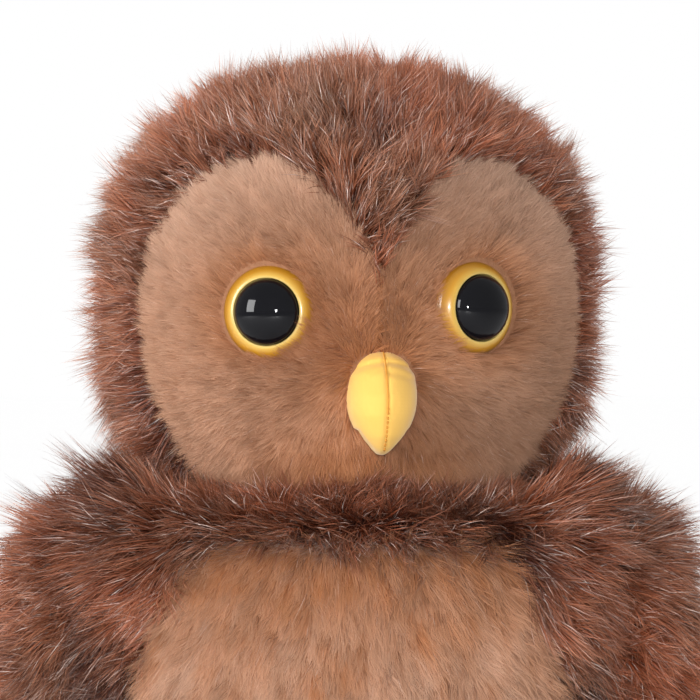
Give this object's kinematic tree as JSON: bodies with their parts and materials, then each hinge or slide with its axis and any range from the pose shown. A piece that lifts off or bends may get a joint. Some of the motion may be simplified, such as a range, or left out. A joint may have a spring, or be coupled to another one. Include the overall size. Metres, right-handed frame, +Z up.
{
  "type": "interactive plush pet",
  "caption": "Plush owl chick with a motor-turned head, flapping wings, a press-to-play belly, a sliding battery door and a power switch.",
  "frame": {"origin": "centre of the base plate's underside, on the neck's turning axis", "axes": "+Z up, -Y the way the owl's body faces, +X to the right of a viewer who faces the owl; left and right in node names are that viewer's"},
  "size_m": [0.1782, 0.148, 0.2475],
  "materials": {
    "brown_fur": "long pile faux fur",
    "beige_fur": "short pile plush",
    "yellow_cloth": "woven cloth",
    "amber_plastic": "polished",
    "black_plastic": "polished",
    "white_plastic": "moulded",
    "grey_plastic": "moulded",
    "dark_plastic": "moulded",
    "gear_plastic": "moulded acetal",
    "steel": "plated",
    "board_green": "solder mask",
    "cell_jacket": "printed film",
    "wire_red": "pvc jacket"
  },
  "bodies": {
    "torso": {"body_skin": "brown_fur", "belly_panel": "beige_fur", "neck_collar": "brown_fur", "tail": "brown_fur", "foot_left": "yellow_cloth", "foot_right": "yellow_cloth", "chassis_front": "grey_plastic", "chassis_back": "grey_plastic", "chassis_screw_1": "steel", "chassis_screw_2": "steel", "chassis_screw_3": "steel", "chassis_screw_4": "steel", "base_plate": "dark_plastic", "battery_box": "grey_plastic", "cell_1": "cell_jacket", "cell_2": "cell_jacket", "cell_3": "cell_jacket", "circuit_board": "board_green", "sound_chip": "dark_plastic", "speaker": "dark_plastic", "microphone": "steel", "wire_loom": "wire_red", "button_spring": "steel", "neck_tube": "grey_plastic", "neck_clip": "steel", "neck_motor": "steel", "wing_motor": "steel"},
    "head": {"head_skin": "brown_fur", "beak": "yellow_cloth", "skull_front": "white_plastic", "skull_back": "white_plastic", "head_gear": "gear_plastic", "face_disc_left": "beige_fur", "eye_left": "amber_plastic", "pupil_left": "black_plastic", "eye_washer_left": "white_plastic", "skull_screw_left": "steel", "face_disc_right": "beige_fur", "eye_right": "amber_plastic", "pupil_right": "black_plastic", "eye_washer_right": "white_plastic", "skull_screw_right": "steel"},
    "neck_drive": {"neck_pinion": "gear_plastic"},
    "wing_left": {"wing_left": "brown_fur", "wing_arm_left": "gear_plastic", "wing_shaft_left": "steel"},
    "wing_right": {"wing_right": "brown_fur", "wing_arm_right": "gear_plastic", "wing_shaft_right": "steel"},
    "yoke": {"wing_yoke": "gear_plastic"},
    "wing_drive": {"wing_drive_pinion": "gear_plastic"},
    "button": {"belly_button": "white_plastic"},
    "door": {"battery_door": "dark_plastic"},
    "switch": {"power_knob": "white_plastic"}
  },
  "joints": [
    {"name": "head_turn", "type": "hinge", "parent": "torso", "child": "head", "pos_m": [0, 0, 0.141], "axis": [0, 0, 1], "range_deg": [-53.3, 36.7]},
    {"name": "neck_pinion_spin", "type": "hinge", "parent": "torso", "child": "neck_drive", "pos_m": [0.01915, 0.01607, 0.141], "axis": [0, 0, 1], "range_deg": [-146.8, 213.2]},
    {"name": "wing_left_flap", "type": "hinge", "parent": "torso", "child": "wing_left", "pos_m": [-0.046, 0, 0.12], "axis": [0, 1, 0], "range_deg": [0, 30]},
    {"name": "wing_right_flap", "type": "hinge", "parent": "torso", "child": "wing_right", "pos_m": [0.046, 0, 0.12], "axis": [0, -1, 0], "range_deg": [0, 30]},
    {"name": "yoke_slide", "type": "slide", "parent": "torso", "child": "yoke", "axis": [0, 0, -1], "range_m": [0, 0.00367]},
    {"name": "wing_pinion_spin", "type": "hinge", "parent": "torso", "child": "wing_drive", "pos_m": [0.01, 0, 0.102], "axis": [0, -1, 0], "range_deg": [0, 42.1]},
    {"name": "belly_press", "type": "slide", "parent": "torso", "child": "button", "axis": [0, 1, 0], "range_m": [0, 0.0025], "stiffness_N_per_m": 400, "springref_m": -0.0005, "deforming": ["button_spring"]},
    {"name": "battery_door_slide", "type": "slide", "parent": "torso", "child": "door", "axis": [0, 1, 0], "range_m": [0, 0.045]},
    {"name": "power_switch", "type": "slide", "parent": "torso", "child": "switch", "axis": [0, 1, 0], "range_m": [0, 0.005]}
  ],
  "couplings": [
    {"joint": "neck_pinion_spin", "follows": "head_turn", "ratio": -4},
    {"joint": "wing_right_flap", "follows": "wing_left_flap", "ratio": 1},
    {"joint": "yoke_slide", "follows": "wing_left_flap", "m_per_rad": 0.007},
    {"joint": "wing_pinion_spin", "follows": "wing_left_flap", "ratio": 1.4}
  ]
}
